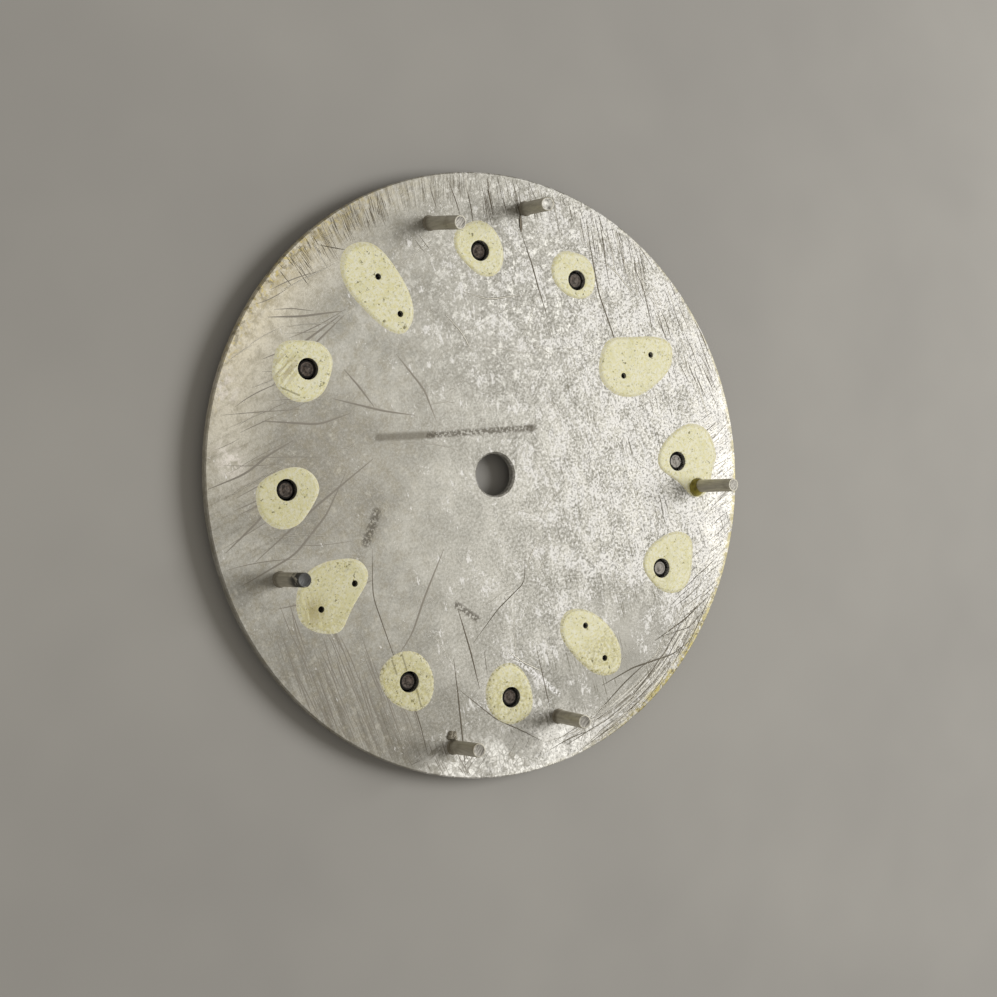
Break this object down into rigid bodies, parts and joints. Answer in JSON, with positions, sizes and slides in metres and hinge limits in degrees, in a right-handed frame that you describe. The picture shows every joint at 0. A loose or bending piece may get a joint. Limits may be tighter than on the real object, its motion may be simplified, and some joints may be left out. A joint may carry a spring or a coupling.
{
  "type": "watch dial",
  "caption": "Round wrist-watch dial, back up: plated disc with a hand hole, wire feet, applied hour markers pegged through it and spots of clear glue.",
  "frame": {"origin": "centre of the hand hole on the dial's back face", "axes": "+Z out of the dial's back along the hand hole, +Y towards 12 o'clock, so 3 o'clock is at -X"},
  "size_m": [0.0285, 0.0284, 0.0036],
  "materials": {
    "silvered_brass": "matt silver plating, scratched, brass showing at the rim",
    "foot_wire": "dull tinned wire with a bright cut end",
    "marker_metal": "polished rim, peg ends oxidised dark",
    "luminous_paint": "matt pale luminous paint",
    "clear_glue": "thin pale yellow-green clear glue"
  },
  "bodies": {
    "root": {"dial_plate": "silvered_brass", "dial_foot_a1": "foot_wire", "dial_foot_a2": "foot_wire", "dial_foot_b1": "foot_wire", "dial_foot_b2": "foot_wire", "dial_foot_c1": "foot_wire", "dial_foot_c2": "foot_wire", "marker_cup_01": "marker_metal", "paint_dot_01": "luminous_paint", "marker_cup_02": "marker_metal", "paint_dot_02": "luminous_paint", "marker_cup_04": "marker_metal", "paint_dot_04": "luminous_paint", "marker_cup_05": "marker_metal", "paint_dot_05": "luminous_paint", "marker_cup_07": "marker_metal", "paint_dot_07": "luminous_paint", "marker_cup_08": "marker_metal", "paint_dot_08": "luminous_paint", "marker_cup_10": "marker_metal", "paint_dot_10": "luminous_paint", "marker_cup_11": "marker_metal", "paint_dot_11": "luminous_paint", "marker_baton_03": "marker_metal", "paint_bar_03": "luminous_paint", "marker_baton_06": "marker_metal", "paint_bar_06": "luminous_paint", "marker_baton_09": "marker_metal", "paint_bar_09": "luminous_paint", "marker_baton_12": "marker_metal", "paint_bar_12": "luminous_paint", "glue_spot_12": "clear_glue", "glue_spot_11": "clear_glue", "glue_spot_10": "clear_glue", "glue_spot_09": "clear_glue", "glue_spot_08": "clear_glue", "glue_spot_07": "clear_glue", "glue_spot_06": "clear_glue", "glue_spot_05": "clear_glue", "glue_spot_04": "clear_glue", "glue_spot_03": "clear_glue", "glue_spot_02": "clear_glue", "glue_spot_01": "clear_glue"}
  },
  "joints": []
}
